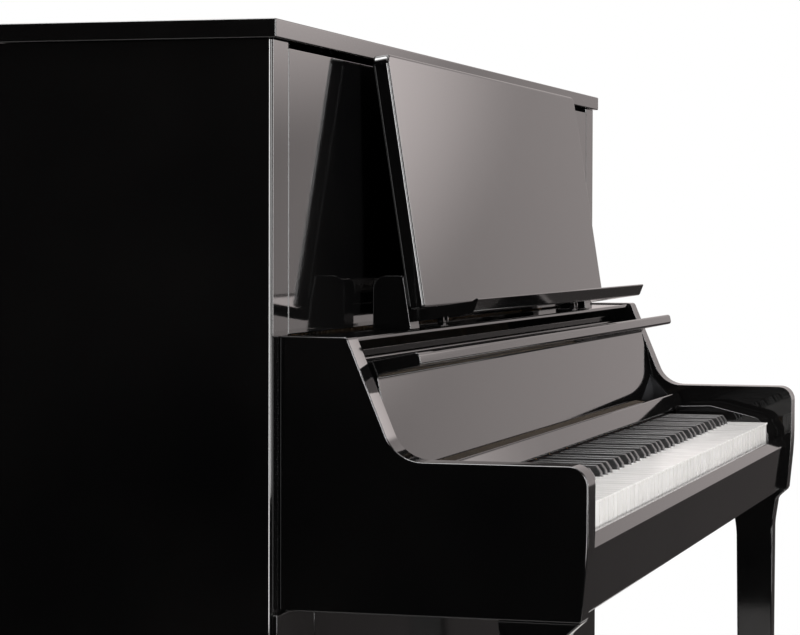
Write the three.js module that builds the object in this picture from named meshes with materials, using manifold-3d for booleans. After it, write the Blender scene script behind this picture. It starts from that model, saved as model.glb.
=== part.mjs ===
// Upright piano, 122 cm tall, with a hinged lid, a closing fallboard, a tilting music desk,
// playing keys, three pedals and four casters.
// Millimetres. +X is the treble end, -Y is the player's side, +Z is up.
// The origin is on the floor, in the middle of the piano's footprint.
import * as THREE from 'three';
import { mergeVertices } from 'three/addons/utils/BufferGeometryUtils.js';
import Module from 'manifold-3d';

const wasm = await Module();
wasm.setup();

// Overall size
const WIDTH = 1524;              // lid, end to end
const DEPTH = 612.4;             // front of the arms to the back of the lid
const HEIGHT = 1220;             // floor to the top of the lid
const GAP = 0.3;                 // between touching pieces

// Case
const CASE_X = 755.5;            // outer face of a side panel
const SIDE_IN = 704;             // inner face of a side panel
const CASE_FRONT = 6.2;          // front plane of the upper case
const CASE_BACK = 300;
const CASE_Z0 = 42;              // underside of the case, over the casters
const LID_Z = 1201;
const PANEL_T = 20;              // thickness of the front panels
const LOWER_T = 25;              // plinth thickness
const STILE_X = 637;             // inner edge of the lower stiles
const TOE_TOP = 95;
const PLINTH_TOP = 119;
const BOTTOM_T = 18;

// Arms, legs and key bed
const ARM_IN = 698;              // inner face of an arm
const ARM_OUT = 733;
const ARM_FRONT = -DEPTH / 2;
const ARM_BOTTOM = 636;
const ARM_FLAT = 787.3;          // flat top beside the keys
const ARM_TOP = 908.5;
const SHELF_TOP = 907;           // top of the shelf that carries the music desk
const SHELF_T = 22.5;
const SHELF_FRONT = -61;
const SHELF_UNDERCUT = 16;       // how far its front slants back underneath
const BED_FRONT = -284;
const BED_BACK = 112;
const BED_Z0 = 635;
const BED_Z1 = 680;
const SLIP_TOP = 713;

// Keyboard
const KEY_PITCH = 23.5;
const KEY_GAP = 0.8;
const NATURALS = 52;
const KEYBOARD_X = NATURALS * KEY_PITCH / 2;
const KEY_FRONT = -283.4;
const KEY_TOP = 740;
const KEY_BOTTOM = 714;
const KEY_HEAD = 50.5;           // full-width front part of a natural
const KEY_REAR = 100;
const STICK_TOP = 737;           // the wooden stick behind the nameboard
const SHARP_STICK_TOP = 738.5;
const CAP_REAR = -135;           // the key tops end behind the nameboard
const NOTCH_W = 13.7;            // slot in the naturals for a sharp
const SHARP_FRONT = -231;
const SHARP_TOP = 752.5;
const SHARP_BASE_W = 11.2;
const SHARP_TOP_W = 9.4;
const BALANCE_Y = -62;           // every key rocks here
const KEY_GROUPS = [             // naturals that are joined into one playing group
  ['bass', 0, 13],
  ['tenor', 13, 26],
  ['middle', 26, 39],
  ['treble', 39, NATURALS],
];

// Fallboard, in its own frame: a runs up the board from the pivot, b towards the player
const FALL_PIVOT = [-142.1, 734.3];
const FALL_LEAN = 11.5;          // degrees that it leans back when open
const FALL_FACE = -31.7;
const FALL_T = 19;
const FALL_FOOT = 32.7;
const FALL_LENGTH = 158.9;
const LIP_T = 14;
const LIP_TIP = 15;
const FALL_X = 690;
const PIN_R = 4;

// Music desk, in its own frame: upright, with its front lower edge at the origin
const DESK_X = 468;
const DESK_H = 278;
const DESK_T = 19;
const DESK_LEAN = 8.9;
const DESK_FOOT = [-69.2, 930.6];
const TRAY_T = 12.5;
const TRAY_D = 60;
const DESK_HINGE = [-55, 912.3];
const DESK_HINGE_X = 341;
const DESK_STOP_X = [430, 465];

// Back, plate and strings
const BACK_X = SIDE_IN - GAP;
const POST_X = [-560, -280, 0, 280, 560];
const POST_W = 64;
const POST_Y = 226;
const BEAM_Y = 205;
const BOARD_X = SIDE_IN - 14;
const BOARD_Y = 196.5;           // front face of the soundboard
const BOARD_T = 8;
const BOARD_TOP = 1010;
const RIB_ANGLE = 0.7;
const PLATE_Y0 = 165;
const PLATE_Y1 = 185;
const STRING_Y = 158.5;
const STRING_T = 2;
const ACTION_X = KEYBOARD_X - 6;
const BRACKET_X = KEYBOARD_X + 16;
const MUFFLER_PIVOT = [60, 1090];

// Casters and pedals
const WHEEL_R = 18;
const WHEEL_W = 24;
const AXLE_R = 3;
const CASTER_X = 716;
const CASTER_Y = 262;
const PEDALS = [['soft', -85], ['practice', 0], ['sustain', 85]];
const PEDAL_PIVOT = [92, 88];
const PEDAL_TIP = -105;

const LOOK = {
  polish: { color: 0x060606, roughness: 0.06, metalness: 0 },
  ivory: { color: 0xf3f1ea, roughness: 0.22, metalness: 0 },
  ebony: { color: 0x0b0b0c, roughness: 0.38, metalness: 0 },
  spruce: { color: 0xc9a468, roughness: 0.55, metalness: 0 },
  beech: { color: 0xb9895a, roughness: 0.6, metalness: 0 },
  brass: { color: 0xc8a24a, roughness: 0.25, metalness: 1 },
  iron: { color: 0xa8853c, roughness: 0.42, metalness: 0.6 },
  steel: { color: 0x8d8f93, roughness: 0.35, metalness: 1 },
  felt: { color: 0xe6e2d8, roughness: 0.95, metalness: 0 },
};

const piano = new THREE.Group();

// Adds one named sub-part
function add(name, geometry, look) {
  const mesh = new THREE.Mesh(geometry, new THREE.MeshStandardMaterial(LOOK[look]));
  mesh.name = name;
  piano.add(mesh);
}

// A box between two corners
function box(x0, x1, y0, y1, z0, z1) {
  const geometry = new THREE.BoxGeometry(x1 - x0, y1 - y0, z1 - z0);
  return geometry.translate((x0 + x1) / 2, (y0 + y1) / 2, (z0 + z1) / 2);
}

// A closed outline from corners [u, v, radius], with an arc at each corner that has a radius
function outline(corners, Kind = THREE.Shape) {
  const shape = new Kind();
  const count = corners.length;
  corners.forEach(([u, v, radius = 0], i) => {
    const corner = new THREE.Vector2(u, v);
    const [u0, v0] = corners[(i + count - 1) % count];
    const [u1, v1] = corners[(i + 1) % count];
    const before = new THREE.Vector2(u0, v0).sub(corner).normalize();
    const after = new THREE.Vector2(u1, v1).sub(corner).normalize();
    const half = Math.acos(before.dot(after)) / 2;
    const reach = radius / Math.tan(half);
    const from = corner.clone().addScaledVector(before, reach);
    const to = corner.clone().addScaledVector(after, reach);
    if (i === 0) shape.moveTo(from.x, from.y);
    else shape.lineTo(from.x, from.y);
    if (radius > 0) {
      const inward = before.clone().add(after).normalize();
      const centre = corner.clone().addScaledVector(inward, radius / Math.sin(half));
      const start = Math.atan2(from.y - centre.y, from.x - centre.x);
      const end = Math.atan2(to.y - centre.y, to.x - centre.x);
      shape.absarc(centre.x, centre.y, radius, start, end, before.cross(after) > 0);
    }
  });
  shape.closePath();
  return shape;
}

function extruded(shape, depth, steps) {
  return new THREE.ExtrudeGeometry(shape, { depth, bevelEnabled: false, curveSegments: steps });
}

// An outline in (y, z) extruded from x0 to x1
function alongX(corners, x0, x1, steps = 3) {
  const turn = new THREE.Matrix4().set(0, 0, 1, x0, 1, 0, 0, 0, 0, 1, 0, 0, 0, 0, 0, 1);
  return extruded(outline(corners), x1 - x0, steps).applyMatrix4(turn);
}

// A shape in (x, z) extruded from y0 to y1
function alongY(shape, y0, y1, steps = 3) {
  const turn = new THREE.Matrix4().set(1, 0, 0, 0, 0, 0, -1, y1, 0, 1, 0, 0, 0, 0, 0, 1);
  return extruded(shape, y1 - y0, steps).applyMatrix4(turn);
}

// An outline in (x, y) extruded from z0 to z1
function alongZ(corners, z0, z1, steps = 3) {
  return extruded(outline(corners), z1 - z0, steps).translate(0, 0, z0);
}

// A cylinder along X
function rod(x0, x1, [y, z], radius, sides = 12) {
  const geometry = new THREE.CylinderGeometry(radius, radius, x1 - x0, sides);
  return geometry.rotateZ(Math.PI / 2).translate((x0 + x1) / 2, y, z);
}

function solid(geometry) {
  const bare = geometry.clone();
  bare.deleteAttribute('normal');
  bare.deleteAttribute('uv');
  const merged = mergeVertices(bare, 1e-4);
  const mesh = new wasm.Mesh({
    numProp: 3,
    vertProperties: new Float32Array(merged.attributes.position.array),
    triVerts: new Uint32Array(merged.index.array),
  });
  return new wasm.Manifold(mesh);
}

function geometryOf(manifold) {
  const mesh = manifold.getMesh();
  const geometry = new THREE.BufferGeometry();
  geometry.setAttribute('position', new THREE.BufferAttribute(mesh.vertProperties, 3));
  geometry.setIndex(new THREE.BufferAttribute(mesh.triVerts, 1));
  geometry.computeVertexNormals();
  return geometry;
}

function join(pieces) {
  return geometryOf(pieces.map(solid).reduce((whole, piece) => whole.add(piece)));
}

function cut(geometry, tools) {
  return geometryOf(tools.map(solid).reduce((rest, tool) => rest.subtract(tool), solid(geometry)));
}

function overlapOf(first, second) {
  return geometryOf(solid(first).intersect(solid(second)));
}

// Runs a builder for the bass end and the treble end
function bothEnds(build) {
  build('left', -1);
  build('right', 1);
}

// The interval of x between two distances from the middle, on one side
function span(side, inner, outer) {
  return side > 0 ? [inner, outer] : [-outer, -inner];
}

function addCase() {
  bothEnds((end, side) => {
    const [x0, x1] = span(side, SIDE_IN, CASE_X);
    add(`side_panel_${end}`, box(x0, x1, CASE_FRONT, CASE_BACK, CASE_Z0, LID_Z - GAP), 'polish');
    const [s0, s1] = span(side, STILE_X, CASE_X);
    const stile = box(s0, s1, 0, CASE_FRONT - GAP, TOE_TOP + GAP, BED_Z0 - GAP);
    add(`lower_stile_${end}`, stile, 'polish');
  });
  add('lid', box(-WIDTH / 2, WIDTH / 2, 0, DEPTH / 2, LID_Z, HEIGHT), 'polish');
  const upper = SIDE_IN - 1;
  add('upper_front_panel', box(-upper, upper, CASE_FRONT, CASE_FRONT + PANEL_T,
    ARM_TOP + 0.5, LID_Z - 6), 'polish');
  const lower = STILE_X - 1;
  add('lower_front_panel', box(-lower, lower, 0, PANEL_T, PLINTH_TOP + 1, BED_Z0 - 1), 'polish');
  addPlinth();
}

// The board under the lower panel, with a slot for each pedal, and the bottom board behind it
function addPlinth() {
  const inner = STILE_X - 1;
  const slots = PEDALS.map(([, x]) => box(x - 14, x + 14, -1, LOWER_T + 1, 62, 104));
  const pieces = [
    box(-inner, inner, 0, LOWER_T, CASE_Z0, PLINTH_TOP),
    box(-BACK_X, BACK_X, CASE_FRONT, LOWER_T, CASE_Z0, TOE_TOP),
    box(-BACK_X, BACK_X, CASE_FRONT, BEAM_Y - GAP, CASE_Z0, CASE_Z0 + BOTTOM_T),
  ];
  add('plinth', cut(join(pieces), slots), 'polish');
}

// The arms beside the keys: high at the case, falling in a cove to a flat top
function addArms() {
  const cheek = [
    [CASE_FRONT - GAP, ARM_BOTTOM],
    [CASE_FRONT - GAP, ARM_TOP],
    [-63.7, ARM_TOP, 5],
    [-114.2, ARM_FLAT, 40],
    [ARM_FRONT, ARM_FLAT, 20],
    [ARM_FRONT, 705, 500],
    [ARM_FRONT + 6.8, ARM_BOTTOM, 2],
  ];
  bothEnds((end, side) => {
    const [x0, x1] = span(side, ARM_IN, ARM_OUT);
    const [p0, p1] = span(side, FALL_X - 1, ARM_IN + 1);
    const pieces = [alongX(cheek, x0, x1, 5), rod(p0, p1, FALL_PIVOT, PIN_R)];
    add(`arm_${end}`, join(pieces), 'polish');
  });
}

// A pair of ears that carry a caster wheel's axle
function casterEars(x, y, top) {
  const near = WHEEL_W / 2 + 1.5;
  const far = near + 4;
  return [-1, 1].map((side) => {
    const [x0, x1] = side > 0 ? [x + near, x + far] : [x - far, x - near];
    return box(x0, x1, y - 9, y + 9, WHEEL_R - 7, top);
  });
}

function axleHole(x, y) {
  return rod(x - 30, x + 30, [y, WHEEL_R], AXLE_R + GAP);
}

function addLegs() {
  const leg = [
    [-299.5, ARM_BOTTOM - GAP],
    [-284.3, 622, 12],
    [-278.8, 585, 120],
    [-277, TOE_TOP + GAP],
    [-232, TOE_TOP + GAP],
    [-225.5, 573, 160],
    [-216.5, ARM_BOTTOM - GAP],
  ];
  const toe = [
    [CASE_FRONT - GAP, CASE_Z0],
    [CASE_FRONT - GAP, TOE_TOP],
    [-294, TOE_TOP, 18],
    [-294, CASE_Z0, 5],
  ];
  bothEnds((end, side) => {
    const [x0, x1] = span(side, ARM_IN, ARM_OUT);
    add(`leg_${end}`, alongX(leg, x0, x1, 4), 'polish');
    const [t0, t1] = span(side, ARM_IN - 10, ARM_OUT + 10);
    const x = side * CASTER_X;
    const block = join([alongX(toe, t0, t1), ...casterEars(x, -CASTER_Y, CASE_Z0 + 1)]);
    add(`toe_block_${end}`, cut(block, [axleHole(x, -CASTER_Y)]), 'polish');
  });
}

function addKeyBed() {
  const half = ARM_IN - GAP;
  add('key_bed', box(-half, half, BED_FRONT, BED_BACK, BED_Z0, BED_Z1), 'polish');
  const slip = [
    [BED_FRONT - GAP, BED_Z0],
    [BED_FRONT - GAP, SLIP_TOP],
    [-289.8, SLIP_TOP, 1],
    [-298, 702, 3],
    [-290.4, BED_Z0, 3],
  ];
  add('key_slip', alongX(slip, -half, half), 'polish');
  const block = [
    [-148, BED_Z1 + GAP],
    [-148, 761.2, 2],
    [-200, 762.8, 12],
    [-271, 745.6, 20],
    [BED_FRONT, 722, 4],
    [BED_FRONT, BED_Z1 + GAP],
  ];
  bothEnds((end, side) => {
    const [x0, x1] = span(side, KEYBOARD_X + 2, FALL_X - 2);
    add(`key_block_${end}`, alongX(block, x0, x1), 'polish');
  });
  addKeyFrame();
}

// Three rails that the keys rest and rock on, joined by slats
function addKeyFrame() {
  const z0 = BED_Z1 + GAP;
  const pieces = [
    box(-KEYBOARD_X, KEYBOARD_X, -275, -235, z0, 702),
    box(-KEYBOARD_X, KEYBOARD_X, BALANCE_Y - 20, BALANCE_Y + 20, z0, 706.5),
    box(-KEYBOARD_X, KEYBOARD_X, 60, 96, z0, 711),
  ];
  for (const x of [-590, -200, 200, 590]) pieces.push(box(x - 20, x + 20, -240, 62, z0, 698));
  add('key_frame', join(pieces), 'beech');
}

// The strip over the keys' tails, and the shelf and board behind the open fallboard
function addNameboard() {
  const half = ARM_IN - GAP;
  const strip = [[-147, 755], [-133, 755], [-133, 777, 1], [-139, 777, 2], [-147, 757, 1]];
  add('nameboard_strip', alongX(strip, 1 - FALL_X, FALL_X - 1), 'polish');
  const shelf = [
    [CASE_FRONT - GAP, SHELF_TOP - SHELF_T],
    [CASE_FRONT - GAP, SHELF_TOP],
    [SHELF_FRONT, SHELF_TOP, 2],
    [SHELF_FRONT, SHELF_TOP - 4, 1],
    [SHELF_FRONT + SHELF_UNDERCUT, SHELF_TOP - SHELF_T, 2],
  ];
  add('desk_ledge', alongX(shelf, -half, half), 'polish');
  const top = SHELF_TOP - SHELF_T - GAP;
  add('fallboard_back', box(-half, half, -52, -40, 745, top), 'polish');
}

// An (a, b) outline of the fallboard extruded along X, in its open place
function fallboardPiece(corners, x0, x1) {
  const turn = new THREE.Matrix4().makeRotationX(-FALL_LEAN * Math.PI / 180);
  const upright = corners.map(([a, b, radius]) => [-b, a, radius]);
  return alongX(upright, x0, x1).applyMatrix4(turn).translate(0, ...FALL_PIVOT);
}

function addFallboard() {
  const back = FALL_FACE - FALL_T;
  const under = FALL_LENGTH - LIP_T;
  const board = [
    [FALL_FOOT, FALL_FACE, 2],
    [FALL_FOOT, back, 2],
    [FALL_LENGTH, back, 4],
    [FALL_LENGTH, LIP_TIP, 4],
    [under, LIP_TIP, 4],
    [under, FALL_FACE, 6],
  ];
  add('fallboard', fallboardPiece(board, -FALL_X, FALL_X), 'polish');
  const bracket = [
    [-8, 8, 7],
    [-8, -8, 7],
    [FALL_FOOT + 1, back + 3, 4],
    [80, back + 3, 5],
    [80, FALL_FACE - 3, 5],
    [8, 8, 7],
  ];
  bothEnds((end, side) => {
    const [x0, x1] = span(side, FALL_X + 0.6, ARM_IN - 1.4);
    const plate = fallboardPiece(bracket, x0, x1);
    const hole = rod(-ARM_OUT, ARM_OUT, FALL_PIVOT, PIN_R + GAP);
    add(`fallboard_bracket_${end}`, cut(plate, [hole]), 'steel');
  });
}

function leanDesk(geometry) {
  const turn = new THREE.Matrix4().makeRotationX(-DESK_LEAN * Math.PI / 180);
  return geometry.applyMatrix4(turn).translate(0, ...DESK_FOOT);
}

// The desk panel, its tray with two pairs of hinge lugs, the hinges, and the stops behind it
function addMusicDesk() {
  const face = [[-DESK_X, 0, 4], [DESK_X, 0, 4], [DESK_X, DESK_H, 12], [-DESK_X, DESK_H, 12]];
  add('desk_panel', leanDesk(alongY(outline(face), 0, DESK_T)), 'polish');
  const tray = [
    [DESK_T, -GAP],
    [7 - TRAY_D, -GAP, 2],
    [2 - TRAY_D, 2, 1],
    [-TRAY_D, 1, 1],
    [8 - TRAY_D, -TRAY_T - GAP, 4],
    [DESK_T, -TRAY_T - GAP, 3],
  ];
  const pieces = [leanDesk(alongX(tray, 2 - DESK_X, DESK_X - 2))];
  const [y, z] = DESK_HINGE;
  for (const x of [-DESK_HINGE_X, DESK_HINGE_X]) {
    for (const near of [x - 11, x + 7]) {
      pieces.push(box(near, near + 4, y - 3.6, y + 3.6, z, z + 9));
      pieces.push(rod(near, near + 4, DESK_HINGE, 3.6));
    }
  }
  add('desk_tray', cut(join(pieces), [rod(-DESK_X, DESK_X, DESK_HINGE, 2.3, 10)]), 'polish');
  const z0 = SHELF_TOP + GAP;
  const stop = [[-53, z0], [-43.9, 965, 3], [-10, 965, 14], [-10, z0]];
  bothEnds((end, side) => {
    const x = side * DESK_HINGE_X;
    const hinge = [
      box(x - 16, x + 16, y - 2, y + 18, z0, z0 + 0.8),
      box(x - 6, x + 6, y - 2, y + 4, z0, z),
      rod(x - 6, x + 6, DESK_HINGE, 2.8),
      rod(x - 12.5, x + 12.5, DESK_HINGE, 2, 10),
    ];
    add(`desk_hinge_${end}`, join(hinge), 'steel');
    add(`desk_stop_${end}`, alongX(stop, ...span(side, ...DESK_STOP_X)), 'polish');
  });
}

// Centre lines of an octave's sharps, from the left edge of its C
function sharpOffsets() {
  const f = 3 * KEY_PITCH;
  const low = (f - 2 * NOTCH_W) / 3;
  const high = (4 * KEY_PITCH - 3 * NOTCH_W) / 4;
  return [
    low + NOTCH_W / 2,
    2 * low + 1.5 * NOTCH_W,
    f + high + NOTCH_W / 2,
    f + 2 * high + 1.5 * NOTCH_W,
    f + 3 * high + 2.5 * NOTCH_W,
  ];
}

// Every sharp as { x, after }: its centre, and the number of the natural to its left
function sharpList() {
  const list = [];
  for (let c = -5; c < NATURALS; c += 7) {
    sharpOffsets().forEach((offset, i) => {
      const after = c + [0, 1, 3, 4, 5][i];
      const x = c * KEY_PITCH - KEYBOARD_X + offset;
      if (after >= 0 && after < NATURALS - 1) list.push({ x, after });
    });
  }
  return list;
}

const SHARPS = sharpList();

// A natural: a full-width head, a tail between the sharps, and a stick behind the nameboard
function naturalBoxes(index) {
  const left = index * KEY_PITCH - KEYBOARD_X + KEY_GAP / 2;
  const right = left + KEY_PITCH - KEY_GAP;
  const lower = SHARPS.find(({ after }) => after === index - 1);
  const upper = SHARPS.find(({ after }) => after === index);
  const tailLeft = lower ? lower.x + NOTCH_W / 2 : left;
  const tailRight = upper ? upper.x - NOTCH_W / 2 : right;
  const head = KEY_FRONT + KEY_HEAD;
  return [
    box(left, right, KEY_FRONT, head, KEY_BOTTOM, KEY_TOP),
    box(tailLeft, tailRight, head - 1, CAP_REAR, KEY_BOTTOM, KEY_TOP),
    box(tailLeft, tailRight, CAP_REAR - 1, KEY_REAR, KEY_BOTTOM, STICK_TOP),
  ];
}

// A sharp: a tapered cap with a sloping front, on its stick
function sharpPieces({ x }) {
  const z0 = KEY_TOP - 1;
  const section = outline([
    [x - SHARP_BASE_W / 2, z0],
    [x + SHARP_BASE_W / 2, z0],
    [x + SHARP_TOP_W / 2, SHARP_TOP],
    [x - SHARP_TOP_W / 2, SHARP_TOP],
  ]);
  const profile = [
    [CAP_REAR, z0 - 1],
    [CAP_REAR, SHARP_TOP + 1],
    [CAP_REAR - 1, SHARP_TOP + 1],
    [SHARP_FRONT + 6, SHARP_TOP, 3],
    [SHARP_FRONT, z0 - 1],
  ];
  const cap = alongY(section, SHARP_FRONT - 5, CAP_REAR + 5);
  const half = SHARP_BASE_W / 2;
  return [
    overlapOf(cap, alongX(profile, x - 10, x + 10, 2)),
    box(x - half, x + half, SHARP_FRONT, CAP_REAR + 1, KEY_BOTTOM + 2, z0),
    box(x - half, x + half, CAP_REAR, KEY_REAR, KEY_BOTTOM + 2, SHARP_STICK_TOP),
  ];
}

// The keys as four groups of naturals and four of sharps, each joined by a bar at the balance rail
function addKeys() {
  const y0 = BALANCE_Y - 9;
  const y1 = BALANCE_Y + 9;
  for (const [name, first, last] of KEY_GROUPS) {
    const white = [];
    for (let index = first; index < last; index += 1) white.push(...naturalBoxes(index));
    const left = first * KEY_PITCH - KEYBOARD_X + KEY_GAP;
    const right = last * KEY_PITCH - KEYBOARD_X - KEY_GAP - (last < NATURALS ? NOTCH_W / 2 : 0);
    white.push(box(left + NOTCH_W / 2, right, y0, y1, KEY_BOTTOM - 4, KEY_BOTTOM + 0.5));
    add(`naturals_${name}`, join(white), 'ivory');
    const members = SHARPS.filter(({ after }) => after >= first && after < last);
    const black = members.flatMap(sharpPieces);
    const [start, end] = [members[0].x - 4, members.at(-1).x + 4];
    black.push(box(start, end, y0, y1, SHARP_STICK_TOP - 0.5, SHARP_STICK_TOP + 3.5));
    add(`sharps_${name}`, join(black), 'ebony');
  }
}

// Posts and beams of the wooden back, as one glued frame
function addBack() {
  const pieces = [
    box(-BACK_X, BACK_X, BEAM_Y, CASE_BACK, 1110, LID_Z - 6),
    box(-BACK_X, BACK_X, BEAM_Y, CASE_BACK, CASE_Z0, 130),
    ...POST_X.map((x) => box(x - POST_W / 2, x + POST_W / 2, POST_Y, CASE_BACK, 129, 1111)),
  ];
  add('back_frame', join(pieces), 'beech');
  const top = BOARD_TOP - GAP;
  add('pin_block', box(-BOARD_X, BOARD_X, PLATE_Y1 + GAP, BEAM_Y - GAP, BOARD_TOP, LID_Z - 8), 'beech');
  const board = [box(-BOARD_X, BOARD_X, BOARD_Y, BOARD_Y + BOARD_T, 150, top)];
  const room = box(20 - BOARD_X, BOARD_X - 20, 0, CASE_BACK, 170, top - 20);
  for (let x = -480; x <= 480; x += 120) {
    const rib = box(-600, 600, BOARD_Y + BOARD_T - 1, POST_Y - 1, -11, 11).rotateY(-RIB_ANGLE);
    board.push(overlapOf(rib.translate(x, 0, 580), room));
  }
  add('soundboard', join(board), 'spruce');
}

// The cast plate, with openings for the bridges and the strings' speaking lengths
function addPlate() {
  const top = LID_Z - 8;
  const plate = outline([
    [-BOARD_X, 140, 30],
    [BOARD_X, 140, 60],
    [BOARD_X, top, 12],
    [-BOARD_X, top, 12],
  ]);
  const openings = [
    [[-650, 190, 40], [-650, 975, 30], [-330, 975, 30], [-230, 190, 30]],
    [[-190, 190, 30], [-285, 975, 30], [110, 975, 30], [150, 190, 30]],
    [[190, 200, 30], [150, 975, 30], [500, 975, 30], [560, 420, 60]],
  ];
  plate.holes = openings.map((corners) => outline(corners, THREE.Path));
  add('iron_plate', alongY(plate, PLATE_Y0, PLATE_Y1, 2), 'iron');
  const y0 = STRING_Y + STRING_T + 2;
  const y1 = BOARD_Y - GAP;
  const bass = outline([[-610, 240, 8], [-330, 232, 8], [-330, 258, 8], [-610, 268, 8]]);
  add('bass_bridge', alongY(bass, y0, y1, 2), 'beech');
  const treble = outline([[-165, 300, 8], [60, 225, 40], [110, 240, 6], [66, 262, 40], [-157, 328, 8]]);
  add('treble_bridge', alongY(treble, y0, y1, 2), 'beech');
}

// Strings, hammers and dampers as plain rows that hold their room and their weight
function addAction() {
  const strings = outline([[-640, 205], [520, 205], [600, 560], [640, 1090], [-660, 1090]]);
  add('string_bank', alongY(strings, STRING_Y, STRING_Y + STRING_T), 'steel');
  const hammer = [
    [76, 882],
    [98, 882],
    [98, 908],
    [84, 1034],
    [112, 1040],
    [112, 1056],
    [58, 1060],
    [58, 1036],
    [72, 1032],
  ];
  add('hammer_row', alongX(hammer, -ACTION_X, ACTION_X), 'felt');
  const damper = [
    [128, 868],
    [134, 868],
    [134, 930],
    [156, 932],
    [156, 992],
    [142, 992],
    [128, 940],
  ];
  add('damper_row', alongX(damper, -ACTION_X, ACTION_X - 260), 'felt');
  addActionFrame();
  addMuffler();
}

function addActionFrame() {
  const bracket = [
    [34, BED_Z1 + GAP],
    [108, BED_Z1 + GAP],
    [118, 860, 20],
    [122, 1104, 12],
    [48, 1104, 12],
    [60, 870, 20],
    [34, 800, 10],
  ];
  const pieces = [box(-BRACKET_X, BRACKET_X, 101, 121, 848, 876)];
  bothEnds((end, side) => {
    pieces.push(alongX(bracket, ...span(side, BRACKET_X - 1, BRACKET_X + 9)));
    pieces.push(rod(...span(side, ACTION_X - 14, BRACKET_X), MUFFLER_PIVOT, AXLE_R));
  });
  add('action_frame', join(pieces), 'beech');
}

// A felt rail on two arms, which swings down between the hammers and the strings
function addMuffler() {
  const half = ACTION_X - 1;
  const [y, z] = MUFFLER_PIVOT;
  const pieces = [box(-half, half, 139, 149, 1078, 1110)];
  bothEnds((end, side) => {
    const [x0, x1] = span(side, half - 8, half);
    pieces.push(box(x0, x1, y - 6, 140, z - 5, z + 8));
  });
  const hole = rod(-BRACKET_X, BRACKET_X, MUFFLER_PIVOT, AXLE_R + GAP);
  add('muffler_rail', cut(join(pieces), [hole]), 'felt');
}

function addPedals() {
  const [y, z] = PEDAL_PIVOT;
  for (const [name, x] of PEDALS) {
    const foot = [
      [x - 9, y + 14, 4],
      [x - 9, -10, 30],
      [x - 18, -60, 40],
      [x - 18, PEDAL_TIP, 16],
      [x + 18, PEDAL_TIP, 16],
      [x + 18, -60, 40],
      [x + 9, -10, 30],
      [x + 9, y + 14, 4],
    ];
    const hole = rod(x - 20, x + 20, PEDAL_PIVOT, AXLE_R + GAP);
    add(`pedal_${name}`, cut(alongZ(foot, z - 5, z + 5), [hole]), 'brass');
  }
  const z0 = CASE_Z0 + BOTTOM_T + GAP;
  const pieces = [box(-120, 120, y - 16, y + 16, z0, z0 + 5)];
  for (const [, x] of PEDALS) {
    for (const near of [x - 16, x + 10]) {
      pieces.push(box(near, near + 6, y - 8, y + 8, z0, z + 7));
    }
  }
  pieces.push(rod(-104, 104, PEDAL_PIVOT, AXLE_R));
  add('pedal_bearings', join(pieces), 'steel');
}

function addCasters() {
  for (const [row, sy] of [['front', -1], ['rear', 1]]) {
    bothEnds((end, sx) => {
      const x = sx * CASTER_X;
      const y = sy * CASTER_Y;
      const reach = WHEEL_W / 2 + 5;
      const wheel = [
        rod(x - WHEEL_W / 2, x + WHEEL_W / 2, [y, WHEEL_R], WHEEL_R, 28),
        rod(x - reach, x + reach, [y, WHEEL_R], AXLE_R),
      ];
      add(`caster_wheel_${row}_${end}`, join(wheel), 'brass');
    });
  }
  const top = CASE_Z0 - GAP;
  bothEnds((end, side) => {
    const x = side * CASTER_X;
    const plate = box(x - 22, x + 22, CASTER_Y - 19, CASTER_Y + 19, top - 3, top);
    const fork = join([plate, ...casterEars(x, CASTER_Y, top - 1)]);
    add(`caster_fork_rear_${end}`, cut(fork, [axleHole(x, CASTER_Y)]), 'steel');
  });
}

addCase();
addArms();
addLegs();
addKeyBed();
addNameboard();
addFallboard();
addMusicDesk();
addKeys();
addBack();
addPlate();
addAction();
addPedals();
addCasters();

export default piano;
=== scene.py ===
"""Upright piano: the looks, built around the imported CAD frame. Metres, in the CAD's own frame."""

import math

import bpy
from mathutils import Matrix, Vector


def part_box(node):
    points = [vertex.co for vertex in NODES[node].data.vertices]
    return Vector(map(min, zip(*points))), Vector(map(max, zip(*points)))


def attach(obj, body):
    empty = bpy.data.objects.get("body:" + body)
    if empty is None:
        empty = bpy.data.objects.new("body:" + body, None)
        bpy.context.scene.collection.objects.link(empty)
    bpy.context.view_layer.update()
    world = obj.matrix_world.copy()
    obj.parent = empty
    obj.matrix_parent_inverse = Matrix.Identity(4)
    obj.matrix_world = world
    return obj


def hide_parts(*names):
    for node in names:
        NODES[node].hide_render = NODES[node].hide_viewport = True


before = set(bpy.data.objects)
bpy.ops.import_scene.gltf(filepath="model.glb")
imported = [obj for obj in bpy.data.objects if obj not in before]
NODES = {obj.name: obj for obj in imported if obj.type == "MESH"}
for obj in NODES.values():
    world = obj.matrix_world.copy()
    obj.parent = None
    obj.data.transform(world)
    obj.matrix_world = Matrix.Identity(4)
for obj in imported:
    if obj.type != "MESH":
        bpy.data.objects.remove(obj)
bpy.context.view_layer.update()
MM = 0.001

# Camera, at the photograph's viewing angle
CAMERA_AT = Vector((-3.217, -0.836, 1.007))
CAMERA_YAW = math.radians(16.12)
CAMERA_PITCH = math.radians(-1.74)
CAMERA_ROLL = math.radians(0.15)
CAMERA_LENS = 119.4

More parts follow.
